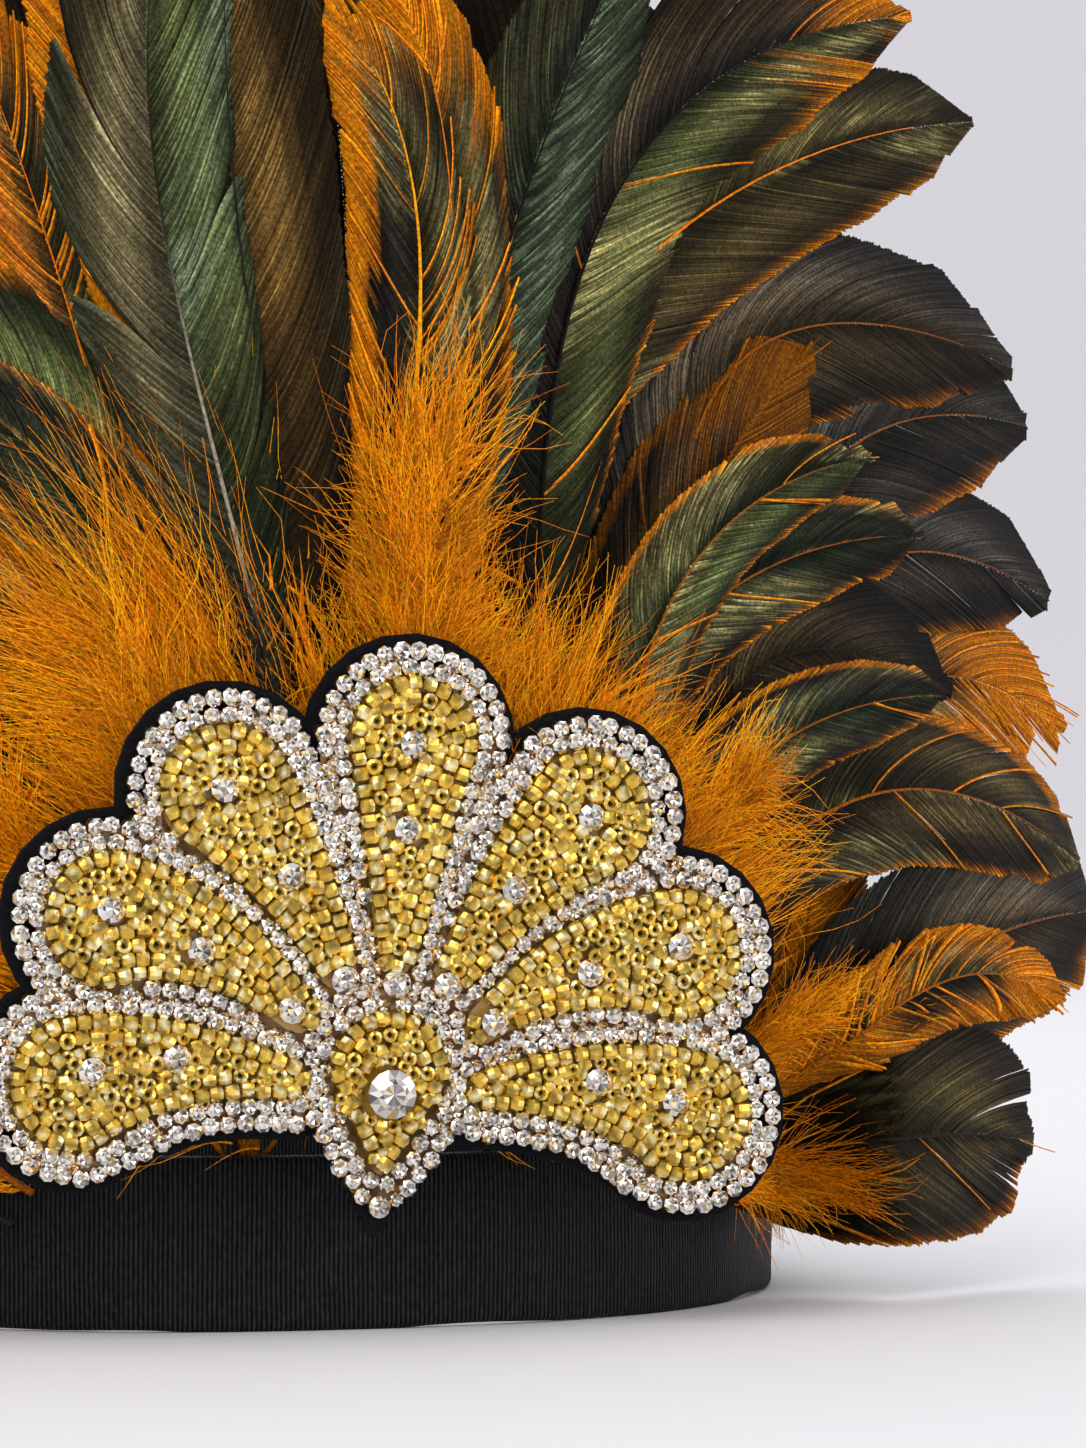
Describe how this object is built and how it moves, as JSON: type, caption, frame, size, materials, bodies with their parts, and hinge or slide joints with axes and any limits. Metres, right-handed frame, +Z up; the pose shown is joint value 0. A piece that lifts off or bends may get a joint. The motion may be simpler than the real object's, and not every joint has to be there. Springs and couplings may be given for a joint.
{
  "type": "carnival feather headdress",
  "caption": "Oval fabric headband with an upright fan of dyed cock feathers on its brow and a beaded shell motif edged with cut stones over the feather roots.",
  "frame": {"origin": "centre of the headband's lower rim, where the axis of the head meets the surface it stands on", "axes": "+Z up the head, -Y out of the brow through the motif, +X to the wearer's left, which is the viewer's right"},
  "size_m": [0.2466, 0.2063, 0.1883],
  "materials": {
    "band_fabric": "fine vertical rib, matt black",
    "felt": "black felt, cut edge",
    "gold_beads": "silver-lined gold seed beads, glossy",
    "crystal": "clear cut stones with foiled backs in metal cups",
    "feather_bronze": "dark bronze and green iridescent barbs, satin",
    "feather_orange": "dyed orange down, soft"
  },
  "bodies": {
    "root": {"back_left": "feather_bronze", "back_middle": "feather_bronze", "back_right": "feather_bronze", "centre_drop": "gold_beads", "centre_stone": "crystal", "crystal_rows": "crystal", "felt_backing": "felt", "headband": "band_fabric", "petal_left_high": "gold_beads", "petal_left_low": "gold_beads", "petal_left_mid": "gold_beads", "petal_right_high": "gold_beads", "petal_right_low": "gold_beads", "petal_right_mid": "gold_beads", "petal_top": "gold_beads", "plume_10_left": "feather_bronze", "plume_10_right": "feather_bronze", "plume_11_left": "feather_bronze", "plume_11_right": "feather_bronze", "plume_12_left": "feather_bronze", "plume_12_right": "feather_bronze", "plume_1_left": "feather_bronze", "plume_1_right": "feather_bronze", "plume_2_left": "feather_bronze", "plume_2_right": "feather_bronze", "plume_3_left": "feather_bronze", "plume_3_right": "feather_bronze", "plume_4_left": "feather_bronze", "plume_4_right": "feather_bronze", "plume_5_left": "feather_bronze", "plume_5_right": "feather_bronze", "plume_6_left": "feather_bronze", "plume_6_right": "feather_bronze", "plume_7_left": "feather_bronze", "plume_7_right": "feather_bronze", "plume_8_left": "feather_bronze", "plume_8_right": "feather_bronze", "plume_9_left": "feather_bronze", "plume_9_right": "feather_bronze", "plume_c1": "feather_bronze", "plume_c2": "feather_bronze", "plume_c3": "feather_bronze", "plume_c4": "feather_bronze", "rear_1_left": "feather_bronze", "rear_1_right": "feather_bronze", "rear_2_left": "feather_bronze", "rear_2_right": "feather_bronze", "rear_3_left": "feather_bronze", "rear_3_right": "feather_bronze", "rear_4_left": "feather_bronze", "rear_4_right": "feather_bronze", "tuft_1_left": "feather_orange", "tuft_1_right": "feather_orange", "tuft_2_left": "feather_orange", "tuft_2_right": "feather_orange", "tuft_3_left": "feather_orange", "tuft_3_right": "feather_orange", "tuft_4_left": "feather_orange", "tuft_4_right": "feather_orange", "tuft_top": "feather_orange"}
  },
  "joints": []
}
